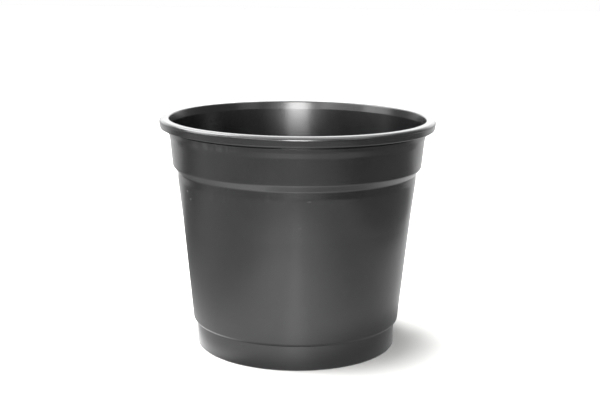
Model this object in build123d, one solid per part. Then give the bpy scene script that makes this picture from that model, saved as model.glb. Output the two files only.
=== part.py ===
from build123d import *
import math
import os

# A round, tapered bucket for cut flowers, moulded in one piece. Millimetres, +Z up.
# The origin is the centre of the base, on the surface that the bucket stands on.

# Overall sizes
rim_diameter = 280.0
height = 235.0
wall = 1.6
floor_thickness = 2.0

# Rim: a flat top round the opening, with a skirt turned down outside it
rim_width = 9.5
flange_thickness = 2.2
skirt_depth = 9.6
skirt_draft = 9.0
skirt_wall = 2.0

# Lip: the top of the wall, which flares out to the opening
lip_depth = 8.2
lip_flare = 1.7

# Band: the wide part of the wall under the rim, down to a sloping ledge
band_height = 38.8
band_draft = 5.2
ledge_height = 7.6
ledge_width = 5.15

# Main wall, whose height is what the other parts leave of the whole
wall_draft = 5.6

# Foot: the narrow, nearly upright band below the wall, set in by a step
step_width = 3.7
foot_height = 25.4
foot_draft = 0.3

# Base: a standing ring with a recessed floor inside it
ring_width = 8.0
ring_draft = 18.0
base_recess = 3.0

# Gate mark in the middle of the underside: a round sink with a short stub in it
gate_diameter = 14.0
gate_depth = 0.6
gate_stub_diameter = 3.0
gate_stub_height = 0.4

# Roundings, on the outer surface where a corner has two
recess_rounding = 1.0
standing_rounding = 1.4
foot_crease = 0.4
step_rounding = 4.0
ledge_crease = 2.5
ledge_rounding = 2.5
lip_rounding = 3.0
flange_crease = 1.0
skirt_edge_rounding = 0.8
shoulder_rounding = 3.4
opening_rounding = 1.3
smallest_rounding = 0.4

opening_radius = rim_diameter / 2 - rim_width


def slope(degrees):
    """How far a face with this draft leans out for each millimetre that it rises."""
    return math.tan(math.radians(degrees))


def beyond_rounding(rounding, draft):
    """How far the sharp corner of a flat top lies outside the rounding that replaces it."""
    return rounding * (math.tan(math.radians(45 + draft / 2)) - 1)


def outside_corners():
    """The outer surface from the middle of the underside up to the flange.

    Each row is radius, height, rounding, and the thickness behind the side that follows.
    """
    lip_bottom = height - lip_depth
    ledge_top = lip_bottom - band_height
    ledge_bottom = ledge_top - ledge_height
    lip_radius = opening_radius - lip_flare + wall
    neck_radius = lip_radius + (lip_depth - flange_thickness) * lip_flare / lip_depth
    ledge_radius = lip_radius - band_height * slope(band_draft)
    wall_top_radius = ledge_radius - ledge_width
    wall_bottom_radius = wall_top_radius - (ledge_bottom - foot_height) * slope(wall_draft)
    foot_top_radius = wall_bottom_radius - step_width
    foot_radius = foot_top_radius - foot_height * slope(foot_draft)
    ring_radius = foot_radius - ring_width
    recess_radius = ring_radius - base_recess * slope(ring_draft)
    return [
        (0.0, base_recess, None, floor_thickness),
        (recess_radius, base_recess, recess_rounding, floor_thickness),
        (ring_radius, 0.0, recess_rounding, floor_thickness),
        (foot_radius, 0.0, standing_rounding, wall),
        (foot_top_radius, foot_height, foot_crease, wall),
        (wall_bottom_radius, foot_height, step_rounding, wall),
        (wall_top_radius, ledge_bottom, ledge_crease, wall),
        (ledge_radius, ledge_top, ledge_rounding, wall),
        (lip_radius, lip_bottom, lip_rounding, wall),
        (neck_radius, height - flange_thickness, flange_crease, None),
    ]


def rim_corners():
    """The rim from under the flange, round the skirt and over the top to the opening."""
    shoulder_radius = rim_diameter / 2 + beyond_rounding(shoulder_rounding, skirt_draft)
    skirt_radius = shoulder_radius - skirt_depth * slope(skirt_draft)
    skirt_inside = skirt_radius - skirt_wall
    return [
        (skirt_inside, height - flange_thickness, flange_crease),
        (skirt_inside, height - skirt_depth, skirt_edge_rounding),
        (skirt_radius, height - skirt_depth, skirt_edge_rounding),
        (shoulder_radius, height, shoulder_rounding),
        (opening_radius, height, opening_rounding),
    ]


def inside_corner(before, corner, after):
    """The corner of the inner surface that lies behind a corner of the outer one."""
    here = Vector(corner[0], corner[1])
    into = (here - Vector(before[0], before[1])).normalized()
    out = (Vector(after[0], after[1]) - here).normalized()
    normal_before = Vector(-into.Y, into.X)
    normal_after = Vector(-out.Y, out.X)
    cosine = normal_before.dot(normal_after)
    part_before = (normal_before - normal_after * cosine) * before[3]
    part_after = (normal_after - normal_before * cosine) * corner[3]
    inner = here + (part_before + part_after) / (1 - cosine**2)
    turns_left = into.X * out.Y - into.Y * out.X > 0
    change = -corner[3] if turns_left else corner[3]
    return inner.X, inner.Y, max(corner[2] + change, smallest_rounding)


def inside_corners(outside):
    """The inner surface from the lip down to the middle of the floor."""
    rows = [inside_corner(*outside[i : i + 3]) for i in range(len(outside) - 2)]
    floor_middle = (0.0, base_recess + floor_thickness, None)
    return rows[::-1] + [floor_middle]


def fitting_roundings(points, roundings):
    """The roundings of the inner points, made smaller where two would meet on their side."""
    vectors = [Vector(*point) for point in points]
    sides = [b - a for a, b in zip(vectors, vectors[1:])]
    turns = [math.radians(a.get_angle(b)) for a, b in zip(sides, sides[1:])]
    fitted = list(roundings)
    for index, side in enumerate(sides):
        corners = [i for i in (index - 1, index) if 0 <= i < len(fitted)]
        used = sum(fitted[i] * math.tan(turns[i] / 2) for i in corners)
        share = min(1.0, 0.96 * side.length / used)
        for i in corners:
            fitted[i] = fitted[i] * share
    return fitted


def bucket_section():
    """Half of the bucket's cross-section, from the axis outwards."""
    outside = outside_corners()
    rows = [row[:3] for row in outside] + rim_corners() + inside_corners(outside)
    points = [row[:2] for row in rows]
    roundings = fitting_roundings(points, [row[2] for row in rows[1:-1]])
    surface = FilletPolyline(*points, radius=roundings)
    axis_side = Line(points[-1], points[0])
    return make_face([surface, axis_side])


def gate_mark():
    """What the gate takes out of the underside: the sink, less the stub."""
    sink = Pos(0, 0, base_recess) * Cylinder(gate_diameter / 2, 2 * gate_depth)
    stub = Cylinder(
        gate_stub_diameter / 2,
        gate_stub_height,
        align=(Align.CENTER, Align.CENTER, Align.MAX),
    )
    return sink - Pos(0, 0, base_recess + gate_depth) * stub


def make_bucket():
    """The whole moulding."""
    body = revolve(Plane.XZ * bucket_section(), Axis.Z, 360)
    return body - gate_mark()


os.makedirs("parts", exist_ok=True)
export_step(make_bucket(), "parts/bucket.step")
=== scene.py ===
import math

import bmesh
import bpy
from bpy.props import FloatProperty, FloatVectorProperty, IntProperty, PointerProperty
from mathutils import Matrix, Vector, noise


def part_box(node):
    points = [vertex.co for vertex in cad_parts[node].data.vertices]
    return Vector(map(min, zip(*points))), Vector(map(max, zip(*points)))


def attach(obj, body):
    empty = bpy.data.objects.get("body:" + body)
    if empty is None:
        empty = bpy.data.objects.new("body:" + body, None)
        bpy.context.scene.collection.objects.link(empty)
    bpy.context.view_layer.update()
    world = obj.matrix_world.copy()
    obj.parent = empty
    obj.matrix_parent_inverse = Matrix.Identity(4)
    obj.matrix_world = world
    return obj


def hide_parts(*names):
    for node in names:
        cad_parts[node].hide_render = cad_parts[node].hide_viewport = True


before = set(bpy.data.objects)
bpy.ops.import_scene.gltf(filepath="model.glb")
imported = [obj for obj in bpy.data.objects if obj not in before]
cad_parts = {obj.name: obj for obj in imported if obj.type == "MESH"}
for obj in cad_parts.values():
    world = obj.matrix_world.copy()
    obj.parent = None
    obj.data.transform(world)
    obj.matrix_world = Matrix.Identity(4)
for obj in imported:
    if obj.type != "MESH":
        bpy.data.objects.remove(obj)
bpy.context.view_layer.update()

bl_info = {
    "name": "Florist bucket",
    "version": (1, 0, 0),
    "blender": (4, 5, 0),
    "location": "3D View > Sidebar > Bucket",
    "description": "Builds a moulded flower bucket and the plain studio that it stands in",
    "category": "Object",
}

MM = 0.001
CAD_LOW, CAD_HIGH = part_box("bucket")
RIM_RADIUS = min(-CAD_LOW.x, CAD_HIGH.x, -CAD_LOW.y, CAD_HIGH.y)
HEIGHT = CAD_HIGH.z

# Roundings of the moulding's corners, on the outer surface where a corner has two
GATE_ROUNDING = 0.2 * MM
RECESS_ROUNDING = 1.0 * MM
STANDING_ROUNDING = 2.0 * MM
FOOT_CREASE = 0.3 * MM
STEP_ROUNDING = 3.4 * MM
LEDGE_ROUNDING = 2.5 * MM
LIP_ROUNDING = 3.0 * MM
SWELL_ROUNDING = 12.0 * MM
BEAD_EDGE_ROUNDING = 0.25 * MM
FLANGE_CREASE = 1.0 * MM
SKIRT_EDGE_ROUNDING = 0.25 * MM
SKIRT_TURN_ROUNDING = 1.4 * MM
SHOULDER_ROUNDING = 3.4 * MM
OPENING_ROUNDING = 1.3 * MM
SMALLEST_ROUNDING = 0.4 * MM
ARC_STEP = math.radians(11)
LOOP_SPACING = 6 * MM
HOLDING_LOOP = 0.3 * MM
SHORTEST_DIVIDED = 4 * HOLDING_LOOP
MERGE_DISTANCE = 0.01 * MM

# Corners of the swell and the bead, as shares of their widths
SWELL_CREST = 0.15
BEAD_CREST = 0.52
BEAD_SHOULDER = 0.22
BEAD_TOP = 0.16

# Patterns on the plastic: the size of their features, and the noise where they start and are full
NESTING_PATCHES = (45 * MM, 0.5, 0.68)
NESTING_LINES = (1.6 * MM, 0.56, 0.72)
EDGE_SCUFFS = (2.2 * MM, 0.48, 0.66)
RUB_STREAKS = (3.2 * MM, 0.42, 0.62)
DUST_PATCHES = (12 * MM, 0.2, 0.9)
TINT_CLOUDS = (28 * MM, 0.3, 0.75)
GLOSS_CLOUDS = (38 * MM, 0.3, 0.7)
# Where some of them lie: from, to, and how far they fade beyond
FOOT_EDGE = (-1 * MM, 1.6 * MM, 3 * MM)
RIM_EDGE = (HEIGHT - 1.2 * MM, HEIGHT + 1 * MM, 3 * MM)
UNDER_SKIRT = (217.5 * MM, 222.5 * MM, 2 * MM)
LEFT_OF_FRONT = (math.radians(-46), math.radians(-30), math.radians(8))
# How strongly they show
NESTING_STRENGTH = 0.02
EDGE_STRENGTH = 0.02
RUB_STRENGTH = 0.035
SCUFF_ROUGHNESS = 0.3
CLOUD_GLOSS = (-0.01, 0.02)
# Dust by how far a face turns up, and specks by the distance from their middles as a share of
# their spacing: start, end, and the strength at both
SETTLED_DUST = (0.5, 0.95, 0.0, 0.015)
SPECK_SPACING = 9 * MM
SPECK = (0.02, 0.045, 0.05, 0.0)
# Marks of making: the size of their features, the noise's detail, and their height. Turning marks
# and skin are drawn coarser than real ones, which are too fine to show.
COOLING = (22 * MM, 0.0, 0.05 * MM)
TURNING = (1.8 * MM, 1.0, 0.004 * MM)
SKIN = (2.4 * MM, 2.0, 0.005 * MM)
DRAWN_UP = (1.0, 1.0, 0.07)
DRAWN_ROUND = (0.05, 0.05, 1.0)

WALL_MIDDLE_RADIUS = 115 * MM
# The squared share of a mark's size within which it shows in full
MARK_CORE = 0.25
# Marks on the wall: degrees to the right of the front, height, width and tallness in mm, strength
MARKS = (
    (5.4, 172, 2.6, 0.8, 0.06),
    (1.6, 146, 2.2, 0.6, 0.035),
    (-62.4, 168, 1.5, 1.0, 0.22),
    (-59.7, 161, 0.9, 1.4, 0.14),
    (-39.0, 98, 1.3, 1.0, 0.05),
    (-31.4, 102, 1.4, 1.0, 0.04),
)

SENSOR_WIDTH = 36.0
FLOOR_REACH = 8.0
POOL_LIFT = 0.02 * MM
# Softboxes: name, degrees to the right of the front, degrees up, then distance, width and height
# in metres, and radiance
SOFTBOXES = (
    ("front_softbox", 0, 12, 2.2, 0.75, 0.8, 26.0),
    ("left_softbox", -44, 25, 2.2, 1.5, 0.6, 7.0),
    ("side_softbox", -84, 21, 2.2, 1.3, 0.8, 7.0),
    ("right_softbox", 50, 25, 2.2, 0.8, 0.6, 3.5),
    ("key_softbox", -116, 47, 1.3, 1.2, 0.7, 10.0),
)
OVERHEAD_SPREAD = math.radians(32)
OVERHEAD_ENERGY = 6.1
OVERHEAD_TURN = (math.radians(-3), math.radians(-8), 0)

# The pool of light on the paper. Across is to the right of the axis and along is away from the
# camera, in metres. A change has its start, its end and the brightness at both. Where another
# change sets one of these, it is left out here.
POOL_MIDDLE = (-0.04, -0.26)
POOL_SIZE = (0.24, 0.34)
POOL_FADE = (0.0, 1.3, 1.8, 0.15)
POOL_NEAR_END = (-0.56, -0.4, 0.0, 1.0)
POOL_SLANT = 0.145
POOL_LEFT_EDGE = (-0.25, -0.2, 0.75, 1.0)
PAPER_GLOW = 0.95
BEHIND_START = (-0.1, 0.25, 1.0)
BEHIND_ACROSS = (-0.2, 0.3, 0.3, 0.95)
PAPER_RIGHT_EDGE = (0.38, 0.41, 1.0, 0.35)
FOOT_MIDDLE = (0.03, 0.0)
ONE_METRE = (1.0, 1.0)
FOOT_SHADE_REACH = (0.12, 0.185)
FOOT_SHADE_ACROSS = (-0.105, -0.055, 0.8, 0.4)
FOOT_GLOW_REACH = (0.13, 0.165)
FOOT_GLOW_ACROSS = (-0.105, -0.055, 2.0, 1.0)
SHEEN_ACROSS = (0.0, 0.045, 0.55, 0.0)
SHEEN_ALONG = (-0.44, -0.16, 0.06)
FAR_PAPER = (0.35, 0.6, 0.0, 1.0)
FAR_GLOW = 1.1

# The room in the reflections, by direction: across, along and up run from -1 to 1
ROOM_FRONT = (-0.8, 0.6, 0.6, 0.45)
FRONT_GLOW_ACROSS = (0.0, 0.65, 7.0, 0.0)
FRONT_GLOW_UP = (0.1, 0.3, 0.1)
OVERHEAD_GLOW = (0.6, 0.9, 0.0, 4.5)
ROOM_BEHIND = (-0.02, 0.12, 0.7, 2.6)
FRONT_TO_BEHIND = (0.5, 0.9)
DIFFUSE_ROOM = 0.12
BACKGROUND = 1.0

# Kinds of node that many patterns share
ABSOLUTE = {"kind": "ShaderNodeMath", "operation": "ABSOLUTE"}
ADD = {"kind": "ShaderNodeMath", "operation": "ADD"}
ARCTAN2 = {"kind": "ShaderNodeMath", "operation": "ARCTAN2"}
DIVIDE = {"kind": "ShaderNodeMath", "operation": "DIVIDE"}
MAXIMUM = {"kind": "ShaderNodeMath", "operation": "MAXIMUM"}
MULTIPLY = {"kind": "ShaderNodeMath", "operation": "MULTIPLY"}
SUBTRACT = {"kind": "ShaderNodeMath", "operation": "SUBTRACT"}
STRAIGHT = {"kind": "ShaderNodeMapRange"}
SMOOTH = {"kind": "ShaderNodeMapRange", "interpolation_type": "SMOOTHSTEP"}


# Settings


def length(name, description, millimetres):
    """A length property, given in millimetres and held in metres."""
    return FloatProperty(
        name=name, description=description, default=millimetres * MM,
        min=0.0, unit="LENGTH", subtype="DISTANCE", precision=4)


def angle(name, description, degrees):
    """An angle property, given in degrees."""
    return FloatProperty(
        name=name, description=description, default=math.radians(degrees),
        unit="ROTATION", subtype="ANGLE")


def linear(hex_colour):
    """A colour written as sRGB hex, as the linear values that a shader takes."""
    channels = [int(hex_colour[i : i + 2], 16) / 255 for i in (1, 3, 5)]
    return [c / 12.92 if c <= 0.04045 else ((c + 0.055) / 1.055) ** 2.4 for c in channels]


def colour(name, description, hex_colour):
    """A colour property."""
    return FloatVectorProperty(
        name=name, description=description, default=linear(hex_colour),
        min=0.0, max=1.0, subtype="COLOR")


class BucketShape(bpy.types.PropertyGroup):
    """Sizes of the moulding. Its rim and its height come from the frame."""

    wall: length("Wall", "Thickness of the wall", 1.6)
    floor: length("Floor", "Thickness of the floor", 2.0)
    rim_width: length("Rim width", "Width of the rim, from the skirt to the opening", 9.5)
    flange: length("Flange", "Thickness of the rim's flat top", 2.2)
    skirt_depth: length("Skirt depth", "Height of the skirt turned down round the rim", 9.6)
    skirt_draft: angle("Skirt draft", "Lean of the skirt", 9.0)
    skirt_wall: length("Skirt wall", "Thickness of the skirt", 2.0)
    lip_depth: length("Lip depth", "Height of the flared lip inside the rim", 8.2)
    lip_flare: length("Lip flare", "How far the lip leans out", 1.7)
    band_height: length("Band height", "Height of the wide band under the rim", 39.3)
    band_draft: angle("Band draft", "Lean of the band", 5.2)
    ledge_height: length("Ledge height", "Height of the sloping ledge under the band", 6.6)
    ledge_width: length("Ledge width", "How far the ledge steps in", 5.15)
    wall_draft: angle("Wall draft", "Lean of the main wall", 5.6)
    step_width: length("Step width", "How far the foot is set in from the wall", 3.7)
    foot_height: length("Foot height", "Height of the foot", 25.4)
    foot_draft: angle("Foot draft", "Lean of the foot", 0.3)
    ring_width: length("Ring width", "Width of the standing ring", 8.0)
    ring_draft: angle("Ring draft", "Lean of the standing ring's inner side", 18.0)
    base_recess: length("Base recess", "Height of the underside above the standing ring", 3.0)
    gate_radius: length("Gate radius", "Radius of the gate's sink under the base", 7.0)
    gate_depth: length("Gate depth", "Depth of the gate's sink", 0.6)
    stub_radius: length("Stub radius", "Radius of the stub left by the gate", 1.5)
    stub_height: length("Stub height", "Height of the stub left by the gate", 0.4)
    bead: length("Bead", "Height of the soft bead under the skirt", 0.75)
    bead_width: length("Bead width", "Width of the bead", 12.0)
    swell: length("Swell", "How far the wall swells out under the ledge", 0.7)
    swell_width: length("Swell width", "Height of the swell on the wall", 50.0)
    ripple: length("Ripple", "How far the wall wanders from true after cooling", 0.12)
    ripple_size: length("Ripple size", "Distance over which the wall wanders", 70.0)
    sides: IntProperty(
        name="Sides", description="Faces round the bucket, a multiple of four",
        default=256, min=64, max=320)


class BucketFinish(bpy.types.PropertyGroup):
    """Colours and gloss of the plastic."""

    black: colour("Black", "The plastic's own colour", "#0D0D0E")
    worn_black: colour("Worn black", "The plastic where handling has dulled it", "#101011")
    grey: colour("Grey", "Where handling has scuffed the plastic grey", "#8A8A8B")
    dust: colour("Dust", "Dust lying on it", "#9A9994")
    roughness: FloatProperty(
        name="Roughness", description="Roughness of the moulded surface", default=0.22,
        min=0.0, max=1.0, subtype="FACTOR")


class StageSettings(bpy.types.PropertyGroup):
    """The floor's colour and the camera."""

    paper: colour("Paper", "The pale floor", "#E8E8E6")
    lens: FloatProperty(
        name="Lens", description="Focal length", default=69.1, min=1.0, unit="CAMERA")
    distance: length("Distance", "From the bucket's axis to the camera, along the floor", 1163.2)
    eye_height: length("Eye height", "The camera's height above the floor", 392.3)
    tilt: angle("Tilt", "How far the camera looks down", 11.83)
    pan: angle("Pan", "How far the camera looks to the right", 0.164)
    lean: angle("Lean", "How far the camera leans to the left", 0.638)


# Modelling


def slope(draft):
    """How far a face with this draft leans out for each metre that it rises."""
    return math.tan(draft)


def outside_corners(shape):
    """The outer surface from the gate up to the flange.

    Each row is radius, height, rounding, and the thickness behind the side that follows.
    """
    opening = RIM_RADIUS - shape.rim_width
    lip_bottom = HEIGHT - shape.lip_depth
    ledge_top = lip_bottom - shape.band_height
    ledge_bottom = ledge_top - shape.ledge_height
    lip = opening - shape.lip_flare + shape.wall
    neck = lip + (shape.lip_depth - shape.flange) * shape.lip_flare / shape.lip_depth
    ledge = lip - shape.band_height * slope(shape.band_draft)
    wall_top = ledge - shape.ledge_width
    wall_bottom = wall_top - (ledge_bottom - shape.foot_height) * slope(shape.wall_draft)
    foot_top = wall_bottom - shape.step_width
    foot = foot_top - shape.foot_height * slope(shape.foot_draft)
    ring = foot - shape.ring_width
    recess = ring - shape.base_recess * slope(shape.ring_draft)
    return [
        (0.0, shape.base_recess, 0.0, shape.floor),
        (recess, shape.base_recess, RECESS_ROUNDING, shape.floor),
        (ring, 0.0, RECESS_ROUNDING, shape.floor),
        (foot, 0.0, STANDING_ROUNDING, shape.wall),
        (foot_top, shape.foot_height, FOOT_CREASE, shape.wall),
        (wall_bottom, shape.foot_height, STEP_ROUNDING, shape.wall),
        (wall_top, ledge_bottom, LEDGE_ROUNDING, shape.wall),
        (ledge, ledge_top, LEDGE_ROUNDING, shape.wall),
        (lip, lip_bottom, LIP_ROUNDING, shape.wall),
        (neck, HEIGHT - shape.flange, FLANGE_CREASE, 0.0),
    ]


def gate_corners(shape):
    """The gate's mark, from the middle of its stub to the edge of its sink."""
    sink = shape.base_recess + shape.gate_depth
    return [
        (0.0, sink - shape.stub_height, 0.0),
        (shape.stub_radius, sink - shape.stub_height, GATE_ROUNDING),
        (shape.stub_radius, sink, GATE_ROUNDING),
        (shape.gate_radius, sink, GATE_ROUNDING),
        (shape.gate_radius, shape.base_recess, GATE_ROUNDING),
    ]


def rim_corners(shape):
    """The rim from under the flange, round the skirt and over the top to the opening."""
    past_rounding = math.tan(math.radians(45) + shape.skirt_draft / 2) - 1
    shoulder = RIM_RADIUS + SHOULDER_ROUNDING * past_rounding
    skirt = shoulder - shape.skirt_depth * slope(shape.skirt_draft)
    return [
        (skirt - shape.skirt_wall, HEIGHT - shape.flange, FLANGE_CREASE),
        (skirt - shape.skirt_wall, HEIGHT - shape.skirt_depth, SKIRT_EDGE_ROUNDING),
        (skirt, HEIGHT - shape.skirt_depth, SKIRT_TURN_ROUNDING),
        (shoulder, HEIGHT, SHOULDER_ROUNDING),
        (RIM_RADIUS - shape.rim_width, HEIGHT, OPENING_ROUNDING),
    ]


def swell_corners(top, draft, rows):
    """Corners of a swell on a leaning wall: depth under the wall's top corner, height, rounding."""
    return [
        (top[0] - down * slope(draft) + height, top[1] - down, rounding)
        for down, height, rounding in rows
    ]


def inside_corner(before, corner, after):
    """The corner of the inner surface that lies behind a corner of the outer one."""
    here = Vector(corner[:2])
    into = (here - Vector(before[:2])).normalized()
    out = (Vector(after[:2]) - here).normalized()
    left_before = Vector((-into.y, into.x))
    left_after = Vector((-out.y, out.x))
    cosine = left_before.dot(left_after)
    move = (left_before - left_after * cosine) * before[3]
    move = (move + (left_after - left_before * cosine) * corner[3]) / (1 - cosine**2)
    thickness = -corner[3] if into.x * out.y > into.y * out.x else corner[3]
    inner = here + move
    return inner.x, inner.y, max(corner[2] + thickness, SMALLEST_ROUNDING)


def section_corners(shape):
    """Every corner of the half section, from the gate round to the middle of the inner floor."""
    outside = outside_corners(shape)
    inside = [inside_corner(*outside[i : i + 3]) for i in range(len(outside) - 2)]
    floor_middle = (0.0, shape.base_recess + shape.floor, 0.0)
    outer = [row[:3] for row in outside[1:]]
    outer[-4:-4] = swell_corners(outer[-4], shape.wall_draft, (
        (shape.swell_width, 0.0, SWELL_ROUNDING),
        (SWELL_CREST * shape.swell_width, shape.swell, SWELL_ROUNDING),
    ))
    skirt_edge = shape.skirt_depth - shape.lip_depth
    outer[-2:-2] = swell_corners(outer[-2], shape.band_draft, (
        (skirt_edge + shape.bead_width, 0.0, SWELL_ROUNDING),
        (skirt_edge + BEAD_CREST * shape.bead_width, shape.bead, SWELL_ROUNDING),
        (skirt_edge + BEAD_SHOULDER * shape.bead_width, shape.bead, BEAD_EDGE_ROUNDING),
        (skirt_edge + BEAD_TOP * shape.bead_width, 0.0, BEAD_EDGE_ROUNDING),
    ))
    return gate_corners(shape) + outer + rim_corners(shape) + inside[::-1] + [floor_middle]


def draw_section(mesh, rows):
    """The section as a chain of edges with its corners rounded and its long sides divided."""
    corners = [mesh.verts.new((radius, 0.0, height)) for radius, height, _ in rows]
    for first, second in zip(corners, corners[1:]):
        mesh.edges.new((first, second))
    places = [corner.co.copy() for corner in corners]
    for i in range(1, len(corners) - 1):
        turn = (places[i] - places[i - 1]).angle(places[i + 1] - places[i])
        bmesh.ops.bevel(
            mesh, geom=[corners[i]], affect="VERTICES", offset_type="OFFSET",
            offset=rows[i][2] * math.tan(turn / 2), segments=max(2, round(turn / ARC_STEP)),
            profile=0.5, material=-1)
    for edge in list(mesh.edges):
        if edge.calc_length() < SHORTEST_DIVIDED:
            continue
        for end in list(edge.verts):
            bmesh.utils.edge_split(edge, end, HOLDING_LOOP / edge.calc_length())
        cuts = int(edge.calc_length() / LOOP_SPACING)
        if cuts:
            bmesh.ops.subdivide_edges(mesh, edges=[edge], cuts=cuts)


def spin_section(mesh, sides):
    """Turns the section once round the axis and closes the seam and both poles."""
    bmesh.ops.spin(
        mesh, geom=mesh.verts[:] + mesh.edges[:], cent=(0, 0, 0), axis=(0, 0, 1),
        angle=math.tau, steps=sides, use_merge=True)
    bmesh.ops.remove_doubles(mesh, verts=mesh.verts[:], dist=MERGE_DISTANCE)
    bmesh.ops.recalc_face_normals(mesh, faces=mesh.faces[:])


def ripple_wall(mesh, shape):
    """Moves the wall in and out a little, inner and outer faces together, as it cooled."""
    for vertex in mesh.verts:
        radius = math.hypot(vertex.co.x, vertex.co.y)
        if radius < RIM_RADIUS / 2:
            continue
        share = vertex.co.z / HEIGHT
        freedom = math.sin(math.pi * share) ** 2
        outward = Vector((vertex.co.x / radius, vertex.co.y / radius, 0.0))
        spot = outward * (RIM_RADIUS / shape.ripple_size)
        spot.z = vertex.co.z / shape.ripple_size
        vertex.co += outward * (shape.ripple * freedom * noise.noise(spot))


def new_object(name, mesh):
    """An object that holds this mesh, smooth all over, in the scene."""
    data = bpy.data.meshes.new(name)
    mesh.to_mesh(data)
    mesh.free()
    data.shade_smooth()
    piece = bpy.data.objects.new(name, data)
    bpy.context.scene.collection.objects.link(piece)
    return piece


# Materials


def add(tree, kind, inputs=(), **attributes):
    """Adds a node with its attributes, and sets or links its inputs, by name or in their order."""
    node = tree.nodes.new(kind)
    for name, value in attributes.items():
        setattr(node, name, value)
    named = inputs if isinstance(inputs, dict) else dict(enumerate(inputs))
    for socket, value in named.items():
        if isinstance(value, bpy.types.NodeSocket):
            tree.links.new(value, node.inputs[socket])
        else:
            node.inputs[socket].default_value = value
    return node


def result(tree, step, *inputs):
    """The first output of a node of any kind, with its inputs in their order."""
    return add(tree, inputs=inputs, **step).outputs[0]


def combine(tree, step, first, *others):
    """Outputs and numbers joined one after another by nodes of one kind."""
    for other in others:
        first = result(tree, step, first, other)
    return first


def new_tree(name):
    """A material with an empty node tree."""
    material = bpy.data.materials.new(name)
    material.use_nodes = True
    material.node_tree.nodes.clear()
    return material, material.node_tree


def mask(tree, place, size, low, high):
    """Noise with features about this size, cut to a soft-edged mask between low and high."""
    cloud = add(tree, "ShaderNodeTexNoise", {
        "Scale": 1 / size, "Detail": 2.0, "Roughness": 0.5, "Vector": place,
    })
    return result(tree, SMOOTH, cloud.outputs["Fac"], low, high)


def window(tree, value, low, high, fade):
    """One between low and high, and nothing beyond them."""
    rise = result(tree, STRAIGHT, value, low - fade, low)
    fall = result(tree, STRAIGHT, value, high, high + fade, 1.0, 0.0)
    return combine(tree, MULTIPLY, rise, fall)


def mark(tree, azimuth, height, place):
    """A small mark on the wall: a soft oval at this place, as wide and tall as it says."""
    degrees, up, wide, tall, strength = place
    across = combine(tree, SUBTRACT, azimuth, math.radians(degrees))
    across = combine(tree, MULTIPLY, across, WALL_MIDDLE_RADIUS / (wide * MM))
    along = combine(tree, SUBTRACT, height, up * MM)
    along = combine(tree, DIVIDE, along, tall * MM)
    across = combine(tree, MULTIPLY, across, across)
    along = combine(tree, MULTIPLY, along, along)
    spread = combine(tree, ADD, across, along)
    return result(tree, SMOOTH, spread, MARK_CORE, 1.0, strength, 0.0)


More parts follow.
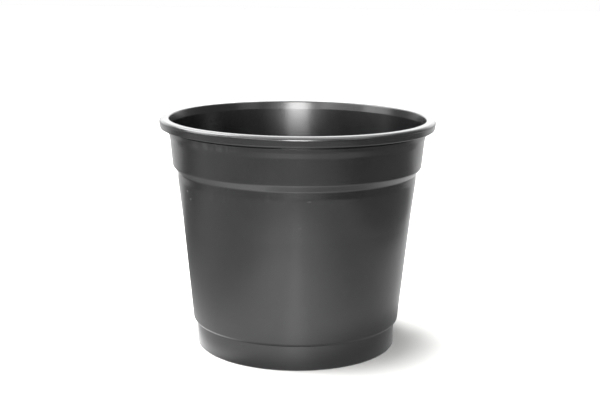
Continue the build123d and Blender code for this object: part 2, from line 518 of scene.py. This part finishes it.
def moulded_polypropylene(finish):
    """Black polypropylene, injection moulded in a turned mould.

    The eye sees a dense near-black with a soft oily gloss that is drawn out up and down by the
    mould's turning marks. Clouds of duller gloss, grey scuffs where buckets nest and stand, and
    dust are very faint, and a few small grey marks show on the wall.
    """
    material, tree = new_tree("black_polypropylene_moulded")
    place = add(tree, "ShaderNodeTexCoord").outputs["Object"]
    axes = add(tree, "ShaderNodeSeparateXYZ", (place,))
    height = axes.outputs["Z"]
    front = combine(tree, MULTIPLY, axes.outputs["Y"], -1.0)
    azimuth = combine(tree, ARCTAN2, axes.outputs["X"], front)
    drawn_up, drawn_round = (
        add(tree, "ShaderNodeMapping", {"Scale": scale, "Vector": place}).outputs["Vector"]
        for scale in (DRAWN_UP, DRAWN_ROUND)
    )
    facing = add(tree, "ShaderNodeNewGeometry").outputs["Normal"]
    upward = add(tree, "ShaderNodeSeparateXYZ", (facing,)).outputs["Z"]

    # Nesting draws fine lines up the wall, in patches
    patches = mask(tree, place, *NESTING_PATCHES)
    lines = mask(tree, drawn_up, *NESTING_LINES)
    nesting = combine(tree, MULTIPLY, patches, lines, NESTING_STRENGTH)
    # Standing and stacking scuff the bottom edge and the top of the rim
    foot = window(tree, height, *FOOT_EDGE)
    top = window(tree, height, *RIM_EDGE)
    edges = combine(tree, MAXIMUM, foot, top)
    edges = combine(tree, MULTIPLY, edges, mask(tree, place, *EDGE_SCUFFS), EDGE_STRENGTH)
    # Fingers and strings rub under the skirt, most on the left of the front
    under = window(tree, height, *UNDER_SKIRT)
    left = window(tree, azimuth, *LEFT_OF_FRONT)
    rubbed = combine(tree, MULTIPLY, under, left, mask(tree, drawn_up, *RUB_STREAKS))
    rubbed = combine(tree, MULTIPLY, rubbed, RUB_STRENGTH)
    marks = [mark(tree, azimuth, height, one) for one in MARKS]
    scuffs = combine(tree, MAXIMUM, nesting, edges, rubbed, *marks)
    # Dust settles on what faces up, and a few specks cling to the wall
    level = result(tree, STRAIGHT, upward, *SETTLED_DUST)
    settled = combine(tree, MULTIPLY, level, mask(tree, place, *DUST_PATCHES))
    specks = add(tree, "ShaderNodeTexVoronoi", {
        "Scale": 1 / SPECK_SPACING, "Randomness": 1.0, "Vector": place,
    })
    specks = result(tree, STRAIGHT, specks.outputs["Distance"], *SPECK)
    dust = combine(tree, MAXIMUM, settled, specks)

    tint = mask(tree, place, *TINT_CLOUDS)
    surface = (*finish.black, 1.0)
    for amount, over in ((tint, finish.worn_black), (scuffs, finish.grey), (dust, finish.dust)):
        surface = add(tree, "ShaderNodeMix", {
            "A": surface, "B": (*over, 1.0), "Factor": amount,
        }, data_type="RGBA").outputs["Result"]
    clouds = mask(tree, place, *GLOSS_CLOUDS)
    levels = [finish.roughness + change for change in CLOUD_GLOSS]
    gloss = result(tree, STRAIGHT, clouds, 0.0, 1.0, *levels)
    gloss = combine(tree, ADD, gloss, combine(tree, MULTIPLY, scuffs, SCUFF_ROUGHNESS))

    # Cooling, the mould's turning marks and its fine skin, as heights
    making = ((COOLING, place), (TURNING, drawn_round), (SKIN, place))
    patterns = [
        add(tree, "ShaderNodeTexNoise", {"Scale": 1 / size, "Detail": detail, "Vector": where})
        for (size, detail, _), where in making
    ]
    normal = None
    for pattern, ((_, _, depth), _) in zip(patterns, making):
        bump = add(tree, "ShaderNodeBump", {
            "Distance": depth, "Strength": 1.0, "Height": pattern.outputs["Fac"],
        })
        if normal:
            tree.links.new(normal, bump.inputs["Normal"])
        normal = bump.outputs["Normal"]

    tangent = add(tree, "ShaderNodeTangent", direction_type="RADIAL", axis="Z")
    shader = add(tree, "ShaderNodeBsdfPrincipled", {
        "IOR": 1.49,
        "Anisotropic": 0.3,
        "Anisotropic Rotation": 0.25,
        "Base Color": surface,
        "Roughness": gloss,
        "Normal": normal,
        "Tangent": tangent.outputs["Tangent"],
    })
    add(tree, "ShaderNodeOutputMaterial", {"Surface": shader.outputs["BSDF"]})
    return material


def studio_paper(stage):
    """Matt white paper: a plain pale ground with no gloss."""
    material, tree = new_tree("studio_paper")
    shader = add(tree, "ShaderNodeBsdfPrincipled", {
        "Base Color": (*stage.paper, 1.0),
        "Roughness": 0.9,
        "Specular IOR Level": 0.0,
    })
    add(tree, "ShaderNodeOutputMaterial", {"Surface": shader.outputs["BSDF"]})
    return material


# Operators


class BUCKET_OT_build_shell(bpy.types.Operator):
    """Builds the whole moulding as one turned shell"""

    bl_idname = "bucket.build_shell"
    bl_label = "Bucket shell"

    def execute(self, context):
        shape = context.scene.bucket_shape
        mesh = bmesh.new()
        draw_section(mesh, section_corners(shape))
        spin_section(mesh, shape.sides)
        ripple_wall(mesh, shape)
        piece = new_object("bucket_shell", mesh)
        piece.data.materials.append(moulded_polypropylene(context.scene.bucket_finish))
        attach(piece, "root")
        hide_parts("bucket")
        return {"FINISHED"}


def add_camera(stage):
    """The camera in front of the bucket."""
    data = bpy.data.cameras.new("camera")
    data.lens = stage.lens
    data.sensor_width = SENSOR_WIDTH
    camera = bpy.data.objects.new("camera", data)
    turn = Matrix.Rotation(-stage.pan, 4, "Z")
    turn @= Matrix.Rotation(math.radians(90) - stage.tilt, 4, "X")
    turn @= Matrix.Rotation(stage.lean, 4, "Z")
    camera.matrix_world = Matrix.Translation((0, -stage.distance, stage.eye_height)) @ turn
    bpy.context.scene.collection.objects.link(camera)
    bpy.context.scene.camera = camera


def add_softbox(name, azimuth, elevation, distance, width, height, radiance):
    """A rectangular soft light round the bucket, placed by angles from the front, left negative."""
    turn = Matrix.Rotation(math.radians(azimuth), 3, "Z")
    turn @= Matrix.Rotation(math.radians(-elevation), 3, "X")
    away = turn @ Vector((0, -distance, 0))
    data = bpy.data.lights.new(name, "AREA")
    data.shape = "RECTANGLE"
    data.size = width
    data.size_y = height
    data.energy = radiance * math.pi * width * height
    light = bpy.data.objects.new(name, data)
    light.location = away + Vector((0, 0, HEIGHT))
    light.rotation_euler = away.to_track_quat("Z", "Y").to_euler()
    bpy.context.scene.collection.objects.link(light)


def add_overhead_light():
    """A wide soft light far overhead, a little to the left, that reflections don't show."""
    data = bpy.data.lights.new("overhead_light", "SUN")
    data.angle = OVERHEAD_SPREAD
    data.energy = OVERHEAD_ENERGY
    light = bpy.data.objects.new("overhead_light", data)
    light.rotation_euler = OVERHEAD_TURN
    light.visible_glossy = False
    bpy.context.scene.collection.objects.link(light)


def add_floor(stage):
    """A wide sheet of paper for the bucket to stand on."""
    mesh = bmesh.new()
    bmesh.ops.create_grid(mesh, x_segments=1, y_segments=1, size=FLOOR_REACH)
    floor = new_object("studio_floor", mesh)
    floor.data.materials.append(studio_paper(stage))
    floor.visible_glossy = False


def reach(tree, place, middle, size):
    """Distance from a middle on the floor, in these sizes across and along."""
    shares = (1 / size[0], 1 / size[1], 0.0)
    moved = add(tree, "ShaderNodeVectorMath", (place, (*middle, 0.0)), operation="SUBTRACT")
    scaled = add(tree, "ShaderNodeVectorMath", (moved.outputs[0], shares), operation="MULTIPLY")
    span = add(tree, "ShaderNodeVectorMath", (scaled.outputs[0],), operation="LENGTH")
    return span.outputs["Value"]


def lamp_pool():
    """The pool of light on the paper, as the glossy wall mirrors it."""
    material, tree = new_tree("lamp_pool")
    place = add(tree, "ShaderNodeTexCoord").outputs["Object"]
    axes = add(tree, "ShaderNodeSeparateXYZ", (place,))
    across, along = axes.outputs["X"], axes.outputs["Y"]
    # The pool fades outwards, stops short of the camera and has an edge on its left
    pool = result(tree, SMOOTH, reach(tree, place, POOL_MIDDLE, POOL_SIZE), *POOL_FADE)
    pool = combine(tree, MULTIPLY, pool, result(tree, SMOOTH, along, *POOL_NEAR_END))
    slant = combine(tree, ADD, across, combine(tree, MULTIPLY, along, POOL_SLANT))
    pool = combine(tree, MULTIPLY, pool, result(tree, SMOOTH, slant, *POOL_LEFT_EDGE))
    lit = combine(tree, ADD, pool, PAPER_GLOW)
    # The paper is dimmer behind the bucket, most on the left, past its right edge and at the foot
    behind = result(tree, SMOOTH, across, *BEHIND_ACROSS)
    lit = combine(tree, MULTIPLY, lit, result(tree, SMOOTH, along, *BEHIND_START, behind))
    lit = combine(tree, MULTIPLY, lit, result(tree, SMOOTH, across, *PAPER_RIGHT_EDGE))
    round_foot = reach(tree, place, FOOT_MIDDLE, ONE_METRE)
    shade = result(tree, SMOOTH, across, *FOOT_SHADE_ACROSS)
    shade = result(tree, SMOOTH, round_foot, *FOOT_SHADE_REACH, shade, 1.0)
    lit = combine(tree, MULTIPLY, lit, shade)
    # Left of the foot it is bright close in
    beside = result(tree, SMOOTH, across, *FOOT_GLOW_ACROSS)
    beside = result(tree, SMOOTH, round_foot, *FOOT_GLOW_REACH, beside, 1.0)
    lit = combine(tree, MULTIPLY, lit, beside)
    # A narrow sheen runs towards the camera
    sheen = result(tree, SMOOTH, result(tree, ABSOLUTE, across), *SHEEN_ACROSS)
    sheen = combine(tree, MULTIPLY, sheen, window(tree, along, *SHEEN_ALONG))
    lit = combine(tree, ADD, lit, sheen)
    far = result(tree, SMOOTH, along, *FAR_PAPER)
    strength = add(tree, "ShaderNodeMix", {"B": FAR_GLOW, "Factor": far, "A": lit})
    light = add(tree, "ShaderNodeEmission", {"Strength": strength.outputs["Result"]})
    add(tree, "ShaderNodeOutputMaterial", {"Surface": light.outputs["Emission"]})
    return material


def add_lamp_pool():
    """A glowing sheet just over the floor that only the reflections in the bucket show."""
    mesh = bmesh.new()
    bmesh.ops.create_grid(mesh, x_segments=1, y_segments=1, size=FLOOR_REACH)
    bmesh.ops.translate(mesh, verts=mesh.verts[:], vec=(0, 0, POOL_LIFT))
    sheet = new_object("lamp_pool", mesh)
    sheet.data.materials.append(lamp_pool())
    sheet.visible_camera = False
    sheet.visible_diffuse = False
    sheet.visible_shadow = False
    sheet.visible_transmission = False


def add_surroundings():
    """The world: white for the camera, a pale room for reflections, and dim for all else.

    The room is bright behind the bucket and dimmer in front, with a glow in front and overhead.
    """
    world = bpy.data.worlds.new("studio")
    world.use_nodes = True
    tree = world.node_tree
    tree.nodes.clear()
    direction = add(tree, "ShaderNodeTexCoord").outputs["Generated"]
    axes = add(tree, "ShaderNodeSeparateXYZ", (direction,))
    across, along, up = (axes.outputs[name] for name in "XYZ")
    front = result(tree, SMOOTH, across, *ROOM_FRONT)
    glow = result(tree, SMOOTH, result(tree, ABSOLUTE, across), *FRONT_GLOW_ACROSS)
    glow = combine(tree, MULTIPLY, glow, window(tree, up, *FRONT_GLOW_UP))
    overhead = result(tree, SMOOTH, up, *OVERHEAD_GLOW)
    front = combine(tree, ADD, front, glow, overhead)
    above = result(tree, SMOOTH, up, *ROOM_BEHIND)
    glossy = result(tree, SMOOTH, along, *FRONT_TO_BEHIND, front, above)
    ray = add(tree, "ShaderNodeLightPath")
    others = add(tree, "ShaderNodeMix", {
        "A": DIFFUSE_ROOM, "Factor": ray.outputs["Is Glossy Ray"], "B": glossy,
    })
    strength = add(tree, "ShaderNodeMix", {
        "B": BACKGROUND, "Factor": ray.outputs["Is Camera Ray"], "A": others.outputs["Result"],
    })
    light = add(tree, "ShaderNodeBackground", {
        "Color": (1, 1, 1, 1), "Strength": strength.outputs["Result"],
    })
    add(tree, "ShaderNodeOutputWorld", {"Surface": light.outputs["Background"]})
    bpy.context.scene.world = world


class BUCKET_OT_build_stage(bpy.types.Operator):
    """Builds the plain floor, the soft light and the camera"""

    bl_idname = "bucket.build_stage"
    bl_label = "Stage"

    def execute(self, context):
        stage = context.scene.bucket_stage
        context.scene.view_settings.view_transform = "Standard"
        add_camera(stage)
        add_floor(stage)
        add_lamp_pool()
        add_surroundings()
        add_overhead_light()
        for softbox in SOFTBOXES:
            add_softbox(*softbox)
        return {"FINISHED"}


class BUCKET_PT_panel(bpy.types.Panel):
    """Lists the pieces and their settings"""

    bl_idname = "BUCKET_PT_panel"
    bl_label = "Florist bucket"
    bl_space_type = "VIEW_3D"
    bl_region_type = "UI"
    bl_category = "Bucket"

    def draw(self, context):
        for operator, settings in PIECES:
            box = self.layout.box()
            box.operator(operator.bl_idname)
            for group in settings:
                owner = getattr(context.scene, group)
                for name in type(owner).__annotations__:
                    box.prop(owner, name)


PIECES = (
    (BUCKET_OT_build_stage, ("bucket_stage",)),
    (BUCKET_OT_build_shell, ("bucket_shape", "bucket_finish")),
)
CLASSES = (
    BucketShape, BucketFinish, StageSettings,
    BUCKET_OT_build_shell, BUCKET_OT_build_stage, BUCKET_PT_panel,
)


def register():
    """Adds the classes and the settings that the scene keeps."""
    for item in CLASSES:
        bpy.utils.register_class(item)
    bpy.types.Scene.bucket_shape = PointerProperty(type=BucketShape)
    bpy.types.Scene.bucket_finish = PointerProperty(type=BucketFinish)
    bpy.types.Scene.bucket_stage = PointerProperty(type=StageSettings)


def unregister():
    """Takes away what register added."""
    del bpy.types.Scene.bucket_stage
    del bpy.types.Scene.bucket_finish
    del bpy.types.Scene.bucket_shape
    for item in reversed(CLASSES):
        bpy.utils.unregister_class(item)


def main():
    """Builds everything."""
    register()
    bpy.ops.bucket.build_stage()
    bpy.ops.bucket.build_shell()


if __name__ == "__main__":
    main()
